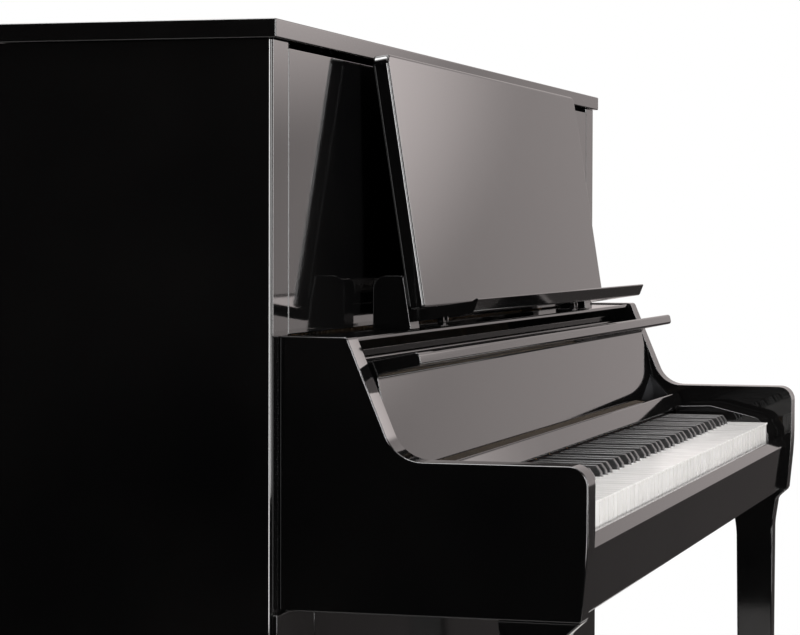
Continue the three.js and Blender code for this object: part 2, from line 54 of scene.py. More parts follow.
# Studio: each glow is (from, to, low, high), along a direction's x, its z or how near it is
# to the direction that the upper panels mirror
TREBLE_GLOW = (-0.75, 0.75, 0.03, 0.67)
HORIZON = (-0.1, -0.03, 0.1, 1.0)
PANEL_LIGHT = (0.925, -0.335, 0.18)
PANEL_GLOW = (0.9885, 1.0, 0.0, 1.9)
FLOOR_R = 2.6
LIGHTS = (
    # name, place, target, size, watts, whether it shows only in highlights
    ("overhead", (0, -0.2, 3.2), (0, -0.2, 0), (3.5, 3.5), 96, False),
    ("front_left", (-2.0, -4.0, 1.6), (-0.3, 0, 0.8), (0.9, 2.6), 135, False),
    ("shine_front", (3.0, -3.7, 1.4), (-0.5, 0, 1.0), (0.7, 3.0), 110, True),
    ("shine_side", (-4.6, -2.6, 1.4), (-0.5, 0, 1.0), (1.2, 3.0), 290, True),
    ("shine_top", (-0.7, 0.6, 3.3), (-0.7, 0, 0.8), (1.0, 3.0), 160, True),
)

# Shading
BEVEL_FROM = math.radians(34)
SMOOTH_BELOW = math.radians(32)
FLAT_WITHIN = math.radians(0.5)

# Keyboard
KEY_PITCH = 23.5 * MM
NATURALS = 52
KEYBOARD_X = NATURALS * KEY_PITCH / 2
KEY_GAP = 0.8 * MM
NOTCH_W = 13.7 * MM
HEAD = 50.5 * MM
CAP_REAR = -0.135
COVER_T = 2.6 * MM
SHARP_FRONT = -0.231
SHARP_NOSE = 6 * MM
SHARP_TOP = 0.7525
SHARP_NOSE_TOP = 0.744
SHARP_BASE = 0.733
SHARP_HALF = 5.6 * MM
GROUPS = (("bass", 0, 13), ("tenor", 13, 26), ("middle", 26, 39), ("treble", 39, NATURALS))
NATURAL_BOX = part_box("naturals_bass")
KEY_FRONT = NATURAL_BOX[0].y
KEY_REAR = NATURAL_BOX[1].y
KEY_TOP = NATURAL_BOX[1].z
KEY_BOTTOM = 0.714
PLATE_BOTTOM = 0.7105
PLATE_INSET = 0.9 * MM
STICK_TOP = 0.737
STICK_HALF = 5 * MM
BALANCE_Y = (-0.071, -0.053)
BAR_BOTTOM = 0.7384
BAR_TOP = 0.742

# Strings and action
STRING_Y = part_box("string_bank")[0].y + 1 * MM
PIN_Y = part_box("iron_plate")[0].y
STRIKE_Z = 1.048
NOTES = 88
NOTE_PITCH = 13.25 * MM
FIRST_NOTE_X = -0.585
PLATE_BAR = 8 * MM
WOUND_NOTES = 26
TREBLE_NOTE = 59
DAMPED_NOTES = 66
STRING_TOP = 1.085
PIN_Z = 1.105
HAMMER_TIP_Y = 0.1115
HAMMER_TAIL_Y = 0.066

# Back and fittings
CASE_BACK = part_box("back_frame")[1].y
HINGE_KNUCKLES = 48
POST_X = (-0.56, -0.28, 0, 0.28, 0.56)
BOLT_Z = (1.13, 1.17, 0.07, 0.11)


# ---------------------------------------------------------------- node helpers

class Shader:
    """A Principled material whose nodes are added one by one."""

    def __init__(self, name, **sockets):
        self.material = bpy.data.materials.new(name)
        self.material.use_nodes = True
        self.tree = self.material.node_tree
        self.bsdf = self.tree.nodes["Principled BSDF"]
        for socket, value in sockets.items():
            self.bsdf.inputs[socket.replace("_", " ")].default_value = value
        self.place = self.add("ShaderNodeTexCoord").outputs["Object"]

    def add(self, kind, **settings):
        node = self.tree.nodes.new(kind)
        for key, value in settings.items():
            setattr(node, key, value)
        return node

    def link(self, output, target):
        self.tree.links.new(output, target)

    def scaled(self, scale, turn=0.0):
        """The object's coordinates, turned about Y and then stretched, a number for each axis."""
        node = self.add("ShaderNodeMapping", vector_type="TEXTURE")
        node.inputs["Rotation"].default_value = (0, turn, 0)
        node.inputs["Scale"].default_value = [1 / number for number in scale]
        self.link(self.place, node.inputs["Vector"])
        return node.outputs["Vector"]

    def noise(self, scale, detail=3.0, stretch=(1, 1, 1), distortion=0.0, turn=0.0):
        node = self.add("ShaderNodeTexNoise")
        node.inputs["Scale"].default_value = scale
        node.inputs["Detail"].default_value = detail
        node.inputs["Distortion"].default_value = distortion
        self.link(self.scaled(stretch, turn), node.inputs["Vector"])
        return node.outputs["Fac"]

    def ramp(self, value, stops):
        """Colours between stops, each (position, colour)."""
        node = self.add("ShaderNodeValToRGB")
        elements = node.color_ramp.elements
        while len(elements) < len(stops):
            elements.new(0.5)
        for element, (position, colour) in zip(elements, stops):
            element.position = position
            element.color = (*colour, 1)
        self.link(value, node.inputs["Fac"])
        return node.outputs["Color"]

    def spread(self, value, low, high, floor=0.3, ceiling=0.7):
        node = self.add("ShaderNodeMapRange")
        node.inputs["From Min"].default_value = floor
        node.inputs["From Max"].default_value = ceiling
        node.inputs["To Min"].default_value = low
        node.inputs["To Max"].default_value = high
        self.link(value, node.inputs["Value"])
        return node.outputs["Result"]

    def colour(self, output):
        self.link(output, self.bsdf.inputs["Base Color"])

    def tint(self, value, dark, light, start=0.3, end=0.7):
        """Colours the surface from dark to light as a value rises."""
        self.colour(self.ramp(value, [(start, dark), (end, light)]))

    def roughness(self, output):
        self.link(output, self.bsdf.inputs["Roughness"])

    def bump(self, height, strength, distance):
        node = self.add("ShaderNodeBump")
        node.inputs["Strength"].default_value = strength
        node.inputs["Distance"].default_value = distance
        self.link(height, node.inputs["Height"])
        self.link(node.outputs["Normal"], self.bsdf.inputs["Normal"])


def polish():
    """Black polyester: a mirror gloss with faint orange peel and patches of hazing."""
    shader = Shader("black_polish")
    shader.tint(shader.noise(5, 4), (0.0022, 0.0022, 0.0024), (0.005, 0.0048, 0.0047))
    shader.roughness(shader.spread(shader.noise(38, 5), 0.04, 0.06))
    shader.bump(shader.noise(170, 2), 0.02, 0.0002)
    return shader.material


def ivory():
    """Warm white key coverings, each key a slightly different tone, with fine wear lines."""
    shader = Shader("ivory_white")
    split = shader.add("ShaderNodeSeparateXYZ")
    shader.link(shader.place, split.inputs["Vector"])
    number = shader.add("ShaderNodeMath", operation="DIVIDE")
    number.inputs[1].default_value = KEY_PITCH
    shader.link(split.outputs["X"], number.inputs[0])
    whole = shader.add("ShaderNodeMath", operation="FLOOR")
    shader.link(number.outputs["Value"], whole.inputs[0])
    tone = shader.add("ShaderNodeTexWhiteNoise", noise_dimensions="1D")
    shader.link(whole.outputs["Value"], tone.inputs["W"])
    shader.tint(tone.outputs["Value"], (0.84, 0.835, 0.815), (0.89, 0.885, 0.87), 0, 1)
    shader.roughness(shader.spread(shader.noise(55, 6, (3, 0.4, 1)), 0.12, 0.24))
    shader.bump(shader.noise(420, 3, (1, 0.15, 1)), 0.015, 0.0001)
    return shader.material


def ebony():
    """Matt black key coverings with a close grain along the key."""
    shader = Shader("ebony_black")
    grain = shader.noise(700, 5, (1, 0.06, 1))
    shader.tint(grain, (0.006, 0.006, 0.0065), (0.017, 0.016, 0.016), 0.35)
    shader.roughness(shader.spread(grain, 0.3, 0.46))
    shader.bump(grain, 0.12, 0.0001)
    return shader.material


def wood(name, stretch, dark, light, turn=0.0):
    """Wood with growth rings stretched along the grain and fine pores."""
    shader = Shader(name)
    rings = shader.noise(14, 5, stretch, 0.6, turn)
    pores = shader.noise(240, 4, stretch, 0, turn)
    mix = shader.add("ShaderNodeMath", operation="MULTIPLY_ADD")
    mix.inputs[1].default_value = 0.35
    shader.link(pores, mix.inputs[0])
    shader.link(shader.spread(rings, 0, 0.65), mix.inputs[2])
    middle = tuple((a + b) / 2 for a, b in zip(dark, light))
    shader.colour(shader.ramp(mix.outputs["Value"], [(0.15, light), (0.5, middle), (0.85, dark)]))
    shader.roughness(shader.spread(pores, 0.42, 0.6))
    shader.bump(pores, 0.25, 0.0003)
    return shader.material


def felt(name, dark, light):
    """Pressed wool: a cloudy colour, a fibrous surface and a soft sheen."""
    shader = Shader(name, Roughness=0.95, Sheen_Weight=0.5, Sheen_Roughness=0.5)
    shader.tint(shader.noise(160, 6), dark, light)
    shader.bump(shader.noise(1500, 6, distortion=1.5), 0.6, 0.0006)
    return shader.material


def metal(name, dark, light, rough, stretch=(1, 1, 1), grain=0.05):
    """Metal with a brushed or cast surface and a slight tarnish."""
    shader = Shader(name, Metallic=1.0)
    shader.tint(shader.noise(30, 5), dark, light, end=0.72)
    lines = shader.noise(600, 4, stretch)
    shader.roughness(shader.spread(lines, *rough))
    shader.bump(lines, grain, 0.0002)
    return shader.material


def plate_paint():
    """Bronze-gold lacquer sprayed over sand-cast iron."""
    shader = Shader("plate_gold", Metallic=0.75)
    shader.tint(shader.noise(22, 6), (0.33, 0.21, 0.06), (0.50, 0.34, 0.11))
    shader.roughness(shader.spread(shader.noise(120, 5), 0.3, 0.5))
    shader.bump(shader.noise(330, 6), 0.35, 0.0005)
    return shader.material


def rubber():
    """Dark moulded tyre rubber with a dusty bloom."""
    shader = Shader("tyre_rubber")
    shader.tint(shader.noise(90, 5), (0.012, 0.012, 0.012), (0.045, 0.043, 0.04), 0.35, 0.75)
    shader.roughness(shader.spread(shader.noise(200, 4), 0.55, 0.8))
    shader.bump(shader.noise(900, 4), 0.2, 0.0003)
    return shader.material


POLISH = polish()
IVORY = ivory()
EBONY = ebony()
SPRUCE_BOARD = wood("spruce_board", (0.12, 1, 3.5), (0.44, 0.26, 0.11), (0.62, 0.42, 0.21),
                    math.radians(45))
KEY_WOOD = wood("key_spruce", (2, 0.08, 2), (0.40, 0.25, 0.11), (0.62, 0.44, 0.23))
RAIL_WOOD = wood("beech_rail", (0.25, 3.5, 3.5), (0.30, 0.16, 0.07), (0.50, 0.30, 0.15))
POST_WOOD = wood("beech_post", (4.5, 4.5, 0.3), (0.26, 0.15, 0.07), (0.46, 0.29, 0.15))
WOOL = felt("white_felt", (0.62, 0.58, 0.48), (0.80, 0.77, 0.68))
RED_FELT = felt("red_felt", (0.20, 0.012, 0.012), (0.34, 0.03, 0.025))
GREEN_FELT = felt("green_felt", (0.02, 0.09, 0.04), (0.05, 0.16, 0.07))
GOLD_FELT = felt("gold_felt", (0.16, 0.09, 0.03), (0.30, 0.18, 0.07))
BRASS = metal("polished_brass", (0.62, 0.42, 0.14), (0.83, 0.62, 0.26), (0.12, 0.26))
STEEL = metal("bright_steel", (0.42, 0.42, 0.44), (0.62, 0.62, 0.64), (0.18, 0.34), (0.1, 1, 1))
WIRE = metal("string_steel", (0.50, 0.50, 0.52), (0.70, 0.70, 0.72), (0.16, 0.28), (1, 1, 0.05))
COPPER = metal("wound_copper", (0.50, 0.20, 0.09), (0.72, 0.34, 0.17), (0.2, 0.34),
               (0.2, 0.2, 9), 0.4)
DARK_STEEL = metal("blackened_steel", (0.012, 0.012, 0.013), (0.03, 0.03, 0.032), (0.3, 0.42))
PLATE = plate_paint()
RUBBER = rubber()


# ---------------------------------------------------------------- mesh helpers

def rounded(corners, steps=6):
    """Points round corners (u, v, radius), with an arc at each corner that has a radius."""
    points = []
    count = len(corners)
    for i, corner in enumerate(corners):
        here = Vector(corner[:2])
        radius = corner[2] if len(corner) > 2 else 0
        if not radius:
            points.append(tuple(here))
            continue
        before = (Vector(corners[i - 1][:2]) - here).normalized()
        after = (Vector(corners[(i + 1) % count][:2]) - here).normalized()
        half = before.angle(after) / 2
        centre = here + (before + after).normalized() * (radius / math.sin(half))
        start = here + before * (radius / math.tan(half)) - centre
        turn = math.pi - 2 * half
        if before.x * after.y - before.y * after.x > 0:
            turn = -turn
        for step in range(steps + 1):
            angle = turn * step / steps
            c, s = math.cos(angle), math.sin(angle)
            points.append((centre.x + start.x * c - start.y * s,
                           centre.y + start.x * s + start.y * c))
    return points


class Build:
    """Closed solids gathered into one mesh, each with a material number."""

    def __init__(self):
        self.verts = []
        self.faces = []
        self.slots = []

    def solid(self, verts, faces, slot=0):
        base = len(self.verts)
        self.verts += [tuple(v) for v in verts]
        self.faces += [tuple(base + i for i in face) for face in faces]
        self.slots += [slot] * len(faces)

    def loft(self, rings, slot=0):
        """Rings of equally many points, skinned one to the next and capped."""
        count = len(rings[0])
        verts = [v for ring in rings for v in ring]
        faces = []
        for r in range(len(rings) - 1):
            for i in range(count):
                j = (i + 1) % count
                a = r * count
                faces.append((a + i, a + j, a + count + j, a + count + i))
        faces.append(tuple(reversed(range(count))))
        faces.append(tuple(range(len(verts) - count, len(verts))))
        self.solid(verts, faces, slot)

    def prism(self, points, axis, low, high, slot=0):
        """An outline extruded along an axis: (y, z) along x, (z, x) along y or (x, y) along z."""
        place = {
            "x": lambda u, v, w: (w, u, v),
            "y": lambda u, v, w: (v, w, u),
            "z": lambda u, v, w: (u, v, w),
        }[axis]
        self.loft([[place(u, v, w) for u, v in points] for w in (low, high)], slot)

    def block(self, low, high, slot=0):
        (x0, y0, z0), (x1, y1, z1) = low, high
        self.prism([(x0, y0), (x1, y0), (x1, y1), (x0, y1)], "z", z0, z1, slot)

    def turned(self, profile, base, along, sides=16, slot=0):
        """A profile of (distance along, radius) turned round an axis that starts at base."""
        along = Vector(along).normalized()
        side = along.orthogonal().normalized()
        other = along.cross(side)
        rings = []
        for distance, radius in profile:
            centre = Vector(base) + along * distance
            ring = []
            for i in range(sides):
                angle = 2 * math.pi * i / sides
                spoke = side * math.cos(angle) + other * math.sin(angle)
                ring.append(centre + spoke * radius)
            rings.append(ring)
        self.loft(rings, slot)

    def wire(self, start, end, radius, sides=6, slot=0):
        span = Vector(end) - Vector(start)
        self.turned([(0, radius), (span.length, radius)], start, span, sides, slot)


SMOOTH = bpy.data.node_groups.new("smooth_by_angle", "GeometryNodeTree")


def fill_smooth_group():
    """Geometry nodes that shade every face smooth except across sharp edges."""
    for way in ("INPUT", "OUTPUT"):
        SMOOTH.interface.new_socket("Geometry", in_out=way, socket_type="NodeSocketGeometry")
    nodes = SMOOTH.nodes
    start = nodes.new("NodeGroupInput")
    end = nodes.new("NodeGroupOutput")
    angle = nodes.new("GeometryNodeInputMeshEdgeAngle")
    compare = nodes.new("FunctionNodeCompare")
    compare.operation = "LESS_EQUAL"
    compare.inputs[1].default_value = SMOOTH_BELOW
    edges = nodes.new("GeometryNodeSetShadeSmooth")
    edges.domain = "EDGE"
    faces = nodes.new("GeometryNodeSetShadeSmooth")
    link = SMOOTH.links.new
    link(start.outputs[0], faces.inputs["Geometry"])
    link(faces.outputs["Geometry"], edges.inputs["Geometry"])
    link(angle.outputs["Unsigned Angle"], compare.inputs[0])
    link(compare.outputs["Result"], edges.inputs["Shade Smooth"])
    link(edges.outputs["Geometry"], end.inputs[0])


fill_smooth_group()


def soften(obj, bevel, segments=3):
    """Rounds the sharp edges and shades the rest smooth."""
    weld = obj.modifiers.new("weld", "WELD")
    weld.merge_threshold = 1e-6
    flat = obj.modifiers.new("flat_faces", "DECIMATE")
    flat.decimate_type = "DISSOLVE"
    flat.angle_limit = FLAT_WITHIN
    if bevel:
        edge = obj.modifiers.new("edges", "BEVEL")
        edge.width = bevel
        edge.segments = segments
        edge.limit_method = "ANGLE"
        edge.angle_limit = BEVEL_FROM
    smooth = obj.modifiers.new("smooth", "NODES")
    smooth.node_group = SMOOTH
    weigh = obj.modifiers.new("flat_normals", "WEIGHTED_NORMAL")
    weigh.weight = 100
    weigh.keep_sharp = True


def piece(name, build, materials, body, bevel=0, segments=3, replaces=()):
    """Makes an object of a Build, riding on a body."""
    mesh = bpy.data.meshes.new(name)
    mesh.from_pydata(build.verts, [], build.faces)
    for mat in materials:
        mesh.materials.append(mat)
    mesh.polygons.foreach_set("material_index", build.slots)
    mesh.validate()
    obj = bpy.data.objects.new(name, mesh)
    bpy.context.scene.collection.objects.link(obj)
    soften(obj, bevel, segments)
    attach(obj, body)
    if replaces:
        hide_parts(*replaces)


# ---------------------------------------------------------------- carried-over CAD nodes

def dress(names, mat, bevel, segments=3):
    for name in names:
        obj = NODES[name]
        obj.data.materials.clear()
        obj.data.materials.append(mat)
        soften(obj, bevel, segments)


def both(stem):
    return [f"{stem}_left", f"{stem}_right"]


def dress_frame():
    dress(["lid"], POLISH, 1.6 * MM, 4)
    dress(both("arm"), POLISH, 2.5 * MM, 4)
    dress(both("leg"), POLISH, 2 * MM, 4)
    dress(both("toe_block"), POLISH, 1.5 * MM)
    dress(["upper_front_panel", "lower_front_panel", "plinth"], POLISH, 1.2 * MM)
    dress(both("lower_stile"), POLISH, 1.2 * MM)
    dress(["key_bed", "fallboard_back", "nameboard_strip"], POLISH, 1 * MM)
    dress(["key_slip", *both("key_block"), "desk_ledge", "fallboard"], POLISH, 1 * MM)
    dress(["desk_panel"], POLISH, 5 * MM, 6)
    dress(["desk_tray"], POLISH, 1 * MM)
    dress(both("desk_stop"), POLISH, 0.8 * MM)
    dress(["back_frame"], POST_WOOD, 2.5 * MM)
    dress(["pin_block", "bass_bridge", "treble_bridge"], RAIL_WOOD, 1 * MM)
    dress(["key_frame", "action_frame"], RAIL_WOOD, 1 * MM)
    dress(["soundboard"], SPRUCE_BOARD, 1 * MM)
    dress(["iron_plate"], PLATE, 3 * MM)
    dress([*both("desk_hinge"), *both("fallboard_bracket")], DARK_STEEL, 0.4 * MM)
    dress(["pedal_bearings", *both("caster_fork_rear")], STEEL, 0.5 * MM)


def side_panels():
    """The case sides, with a 5 mm round on the front outer edge."""
    for end, side in (("left", -1), ("right", 1)):
        low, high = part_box(f"side_panel_{end}")
        inner, outer = (high.x, low.x) if side < 0 else (low.x, high.x)
        corners = [
            (inner, high.y, 1 * MM),
            (inner, low.y, 2 * MM),
            (outer, low.y, 5 * MM),
            (outer, high.y, 3 * MM),
        ]
        if side > 0:
            corners = corners[::-1]
        build = Build()
        build.prism(rounded(corners, 8), "z", low.z, high.z)
        piece(f"case_side_{end}", build, [POLISH], "case", 1 * MM,
              replaces=[f"side_panel_{end}"])


# ---------------------------------------------------------------- keyboard

def sharp_list():
    """Every sharp as (centre, number of the natural to its left)."""
    f = 3 * KEY_PITCH
    low = (f - 2 * NOTCH_W) / 3
    high = (4 * KEY_PITCH - 3 * NOTCH_W) / 4
    offsets = (
        low + NOTCH_W / 2,
        2 * low + 1.5 * NOTCH_W,
        f + high + NOTCH_W / 2,
        f + 2 * high + 1.5 * NOTCH_W,
        f + 3 * high + 2.5 * NOTCH_W,
    )
    found = []
    for c in range(-5, NATURALS, 7):
        for offset, step in zip(offsets, (0, 1, 3, 4, 5)):
            if 0 <= c + step < NATURALS - 1:
                found.append((c * KEY_PITCH - KEYBOARD_X + offset, c + step))
    return found


SHARPS = sharp_list()


def tail_limits(number, left, right):
    """The x limits of a natural's tail, between the sharps beside it."""
    for x, after in SHARPS:
        if after == number - 1:
            left = x + NOTCH_W / 2
        if after == number:
            right = x - NOTCH_W / 2
    return left, right


def key_outline(number, inset, rear, radius):
    """The (x, y) outline of a natural: a full-width head and a tail between the sharps."""
    left = number * KEY_PITCH - KEYBOARD_X + KEY_GAP / 2
    right = left + KEY_PITCH - KEY_GAP
    a, b = tail_limits(number, left, right)
    left, a = left + inset, a + inset
    right, b = right - inset, b - inset
    shoulder = KEY_FRONT + HEAD - inset
    front = KEY_FRONT + inset * 5
    corners = [(left, front, radius), (right, front, radius)]
    if b < right - inset:
        corners += [(right, shoulder, radius / 2), (b, shoulder, radius / 2)]
    corners += [(b, rear), (a, rear)]
    if a > left + inset:
        corners += [(a, shoulder, radius / 2), (left, shoulder, radius / 2)]
    return rounded(corners, 3)


def natural(number, group):
    """A key: a white cover with a front plate over a spruce stick."""
    build = Build()
    build.prism(key_outline(number, 0, CAP_REAR, 0.5 * MM), "z", KEY_TOP - COVER_T, KEY_TOP)
    left = number * KEY_PITCH - KEYBOARD_X + KEY_GAP / 2 + PLATE_INSET
    right = left + KEY_PITCH - KEY_GAP - 2 * PLATE_INSET
    build.block((left, KEY_FRONT + 1.5 * MM, PLATE_BOTTOM),
                (right, KEY_FRONT + 3.3 * MM, KEY_TOP - COVER_T - 0.1 * MM))
    stick = key_outline(number, 0.7 * MM, KEY_REAR, 0.5 * MM)
    build.prism(stick, "z", KEY_BOTTOM + 0.2 * MM, STICK_TOP - 0.1 * MM, 1)
    piece(f"natural_{number + 1:02d}", build, [IVORY, KEY_WOOD], f"{group}_naturals",
          0.35 * MM, 3)


def sharp(index, x, group):
    """A sharp: a tapered ebony cap with a rounded sloping front, on a spruce stick."""
    build = Build()
    profile = (
        (SHARP_FRONT, SHARP_NOSE_TOP),
        (SHARP_FRONT + SHARP_NOSE, SHARP_TOP),
        (CAP_REAR, SHARP_TOP),
    )
    taper_from = 0.739
    rings = []
    for y, top in profile:
        share = (top - taper_from) / (SHARP_TOP - taper_from)
        half = SHARP_HALF - 0.9 * MM * share
        rings.append([(x - half, y, top), (x + half, y, top),
                      (x + SHARP_HALF, y, SHARP_BASE), (x - SHARP_HALF, y, SHARP_BASE)])
    build.loft(rings)
    left, right = x - STICK_HALF, x + STICK_HALF
    bottom = KEY_BOTTOM + 2.5 * MM
    build.block((left, SHARP_FRONT + 1 * MM, bottom), (right, CAP_REAR, SHARP_BASE - 0.2 * MM), 1)
    build.block((left, CAP_REAR + 0.1 * MM, bottom), (right, KEY_REAR, BAR_BOTTOM - 0.1 * MM), 1)
    piece(f"sharp_{index + 1:02d}", build, [EBONY, KEY_WOOD], f"{group}_sharps",
          1.3 * MM, 4)


def balance_bar(kind, group, end, bottom, top):
    """The bar that joins a playing group over the balance rail, a little short of its ends."""
    low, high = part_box(f"{kind}s_{group}")
    build = Build()
    build.block((low.x + end, BALANCE_Y[0], bottom), (high.x - end, BALANCE_Y[1], top))
    piece(f"{kind}_bar_{group}", build, [RAIL_WOOD], f"{group}_{kind}s", 0.5 * MM,
          replaces=[f"{kind}s_{group}"])


def keyboard():
    for group, first, last in GROUPS:
        for number in range(first, last):
            natural(number, group)
        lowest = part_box(f"naturals_{group}")[0].z
        balance_bar("natural", group, 8 * MM, lowest, KEY_BOTTOM - 0.1 * MM)
        balance_bar("sharp", group, 1 * MM, BAR_BOTTOM, BAR_TOP)
    for index, (x, after) in enumerate(SHARPS):
        group = next(g for g, first, last in GROUPS if first <= after < last)
        sharp(index, x, group)


def key_felts():
    """Felt strips on the key frame's rails, behind the nameboard strip and under it."""
    build = Build()
    half, thick = 15 * MM, 2.4 * MM
    low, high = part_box("key_frame")
    for y, z in ((-0.255, 0.702), (0.078, 0.711)):
        corners = [(y - half, z), (y + half, z), (y + half, z + thick, 1 * MM),
                   (y - half, z + thick, 1 * MM)]
        build.prism(rounded(corners, 3), "x", low.x, high.x)
    piece("key_rail_felt", build, [GREEN_FELT], "case")
    build = Build()
    corners = [
        (-0.133, 0.756),
        (-0.1155, 0.756, 2 * MM),
        (-0.1155, 0.7665, 1.5 * MM),
        (-0.133, 0.7765, 1.5 * MM),
    ]
    low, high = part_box("nameboard_strip")
    build.prism(rounded(corners, 4), "x", low.x, high.x)
    piece("nameboard_felt", build, [GOLD_FELT], "case")
    build = Build()
    short = 70 * MM
    build.block((low.x + short, -0.1425, 0.7535), (high.x - short, -0.1335, 0.7549))
    piece("name_rail_felt", build, [RED_FELT], "case")


# ---------------------------------------------------------------- strings and action

def note_x(note):
    """Where note 0 to 87 is struck, with the gaps at the plate's bars."""
    bars = (note >= WOUND_NOTES) + (note >= TREBLE_NOTE)
    return FIRST_NOTE_X + note * NOTE_PITCH + bars * PLATE_BAR


def string_lines():
    """Every string as (top point, bottom point, radius, wound, note, place within the note)."""
    lines = []
    for note in range(NOTES):
        wound = note < WOUND_NOTES
        count = 1 if note < 8 else 2 if wound else 3
        share = note / (NOTES - 1)
        if wound:
            bottom = 0.245 + 0.02 * note / WOUND_NOTES
            slant = 0.20
            radius = (1.6 - 0.03 * note) * MM
        else:
            bottom = 0.235 + 0.68 * max(0, share - 0.3) ** 0.8 / 0.75
            slant = -0.03 - 0.075 * (1 - share)
            radius = (0.75 - 0.2 * share) * MM
        for k in range(count):
            x = note_x(note) + (k - (count - 1) / 2) * 4 * MM
            top = (x, STRING_Y, STRING_TOP)
            lines.append((top, (x + slant, STRING_Y, bottom), radius, wound, note, k))
    return lines


def strings():
    """The strings, each led over the pressure bar to its tuning pin, in four rows of pins."""
    build = Build()
    pins = Build()
    pin_profile = [(0, 2.3 * MM), (0.8 * MM, 3.2 * MM), (14 * MM, 3.5 * MM), (21.8 * MM, 3.5 * MM)]
    for top, bottom, radius, wound, note, k in string_lines():
        build.wire(bottom, top, radius, 6, 1 if wound else 0)
        height = PIN_Z + 21 * MM * ((note + k) % 4) + 4 * MM * (note % 3)
        pins.turned(pin_profile, (top[0], PIN_Y - 22 * MM, height), (0, 1, 0.06), 8)
        coil = (top[0] + 3.3 * MM, PIN_Y - 8 * MM, height)
        build.wire(top, coil, min(radius, 0.6 * MM), 5)
    piece("strings", build, [WIRE, COPPER], "case", replaces=["string_bank"])
    piece("tuning_pins", pins, [STEEL], "case")
    rail = Build()
    corners = [(STRING_Y - 2 * MM, 1.078), (STRING_Y - 2 * MM, 1.092, 2 * MM),
               (PIN_Y - 0.4 * MM, 1.095, 2 * MM), (PIN_Y - 0.4 * MM, 1.075, 2 * MM)]
    rail.prism(rounded(corners[::-1], 4), "x", -0.66, 0.66)
    piece("pressure_bar", rail, [STEEL], "case")


def hammer(build, x, share):
    """A hammer: a teardrop head of felt on a wooden moulding and shank, over its butt."""
    half = (5.2 - 1.6 * share) * MM
    depth = (1 - 0.3 * share)
    belly = HAMMER_TAIL_Y + 20 * MM
    head = [
        (HAMMER_TAIL_Y, STRIKE_Z - 9 * MM),
        (belly, STRIKE_Z - 11 * MM * depth, 4 * MM),
        (HAMMER_TIP_Y, STRIKE_Z - 2 * MM, 3.5 * MM),
        (HAMMER_TIP_Y, STRIKE_Z + 2 * MM, 3.5 * MM),
        (belly, STRIKE_Z + 11 * MM * depth, 4 * MM),
        (HAMMER_TAIL_Y, STRIKE_Z + 9 * MM),
    ]
    build.prism(rounded(head, 3), "x", x - half, x + half, 0)
    build.block((x - half, HAMMER_TAIL_Y - 7 * MM, STRIKE_Z - 7 * MM),
                (x + half, HAMMER_TAIL_Y - 0.5 * MM, STRIKE_Z + 7 * MM), 1)
    build.turned([(0, 2.9 * MM), (0.125, 2.6 * MM)], (x, 0.088, 0.912), (0, -0.16, 1), 8, 1)
    butt = [
        (0.078, 0.884, 3 * MM),
        (0.097, 0.884, 3 * MM),
        (0.096, 0.914, 4 * MM),
        (0.079, 0.914, 4 * MM),
    ]
    build.prism(rounded(butt, 2), "x", x - 4.5 * MM, x + 4.5 * MM, 1)


def wippen(build, x):
    """A wippen's sloping foot with its jack standing on it."""
    foot = [
        (0.05, 0.756, 2 * MM),
        (0.108, 0.768, 2 * MM),
        (0.108, 0.778, 2 * MM),
        (0.05, 0.77, 2 * MM),
    ]
    build.prism(rounded(foot, 2), "x", x - 4 * MM, x + 4 * MM)
    build.block((x - 3 * MM, 0.078, 0.777), (x + 3 * MM, 0.086, 0.842))


def damper(build, x, top):
    """A damper: a lever, a wire, a wooden head and the felt that rests on the string."""
    build.block((x - 3.5 * MM, 0.1285, 0.87), (x + 3.5 * MM, 0.1335, 0.925), 1)
    build.wire((x, 0.132, 0.924), (x, 0.136, top - 10 * MM), 1.1 * MM, 6, 2)
    build.block((x - 5 * MM, 0.134, top - 24 * MM), (x + 5 * MM, 0.145, top), 1)
    felt_rear = STRING_Y - 2.2 * MM
    build.block((x - 4.6 * MM, 0.1452, top - 25 * MM), (x + 4.6 * MM, felt_rear, top), 0)


def action():
    """A hammer and a wippen for every note, and a damper for all but the highest."""
    hammers = Build()
    dampers = Build()
    wippens = Build()
    for note in range(NOTES):
        x = note_x(note)
        hammer(hammers, x, note / (NOTES - 1))
        wippen(wippens, x)
        if note < DAMPED_NOTES:
            damper(dampers, x, 0.985 if note > WOUND_NOTES else 0.965)
    piece("hammers", hammers, [WOOL, RAIL_WOOD], "hammers", replaces=["hammer_row"])
    piece("dampers", dampers, [WOOL, RAIL_WOOD, WIRE], "dampers", 0.4 * MM, 2,
          replaces=["damper_row"])
    piece("wippens", wippens, [RAIL_WOOD], "case")
    muffler()


def muffler():
    """The muffler rail: a bar on two end arms, with a strip of felt hanging from it."""
    low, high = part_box("muffler_rail")
    build = Build()
    build.block((low.x, 0.1445, 1.096), (high.x, 0.149, 1.11))
    for x in (low.x, high.x - 8 * MM):
        build.block((x, low.y, 1.088), (x + 8 * MM, 0.1444, 1.1))
    cloth = [(0.1425, 1.078, 0.5 * MM), (0.1442, 1.078, 0.5 * MM), (0.1442, 1.11), (0.1425, 1.11)]
    build.prism(rounded(cloth, 2), "x", low.x + 10 * MM, high.x - 10 * MM, 1)
    piece("muffler", build, [RAIL_WOOD, WOOL], "muffler", replaces=["muffler_rail"])


# ---------------------------------------------------------------- pedals and casters

def mirrored(profile, length):
    """A turned profile followed by its own mirror image, over a length."""
    return profile + [(length - distance, radius) for distance, radius in reversed(profile)]


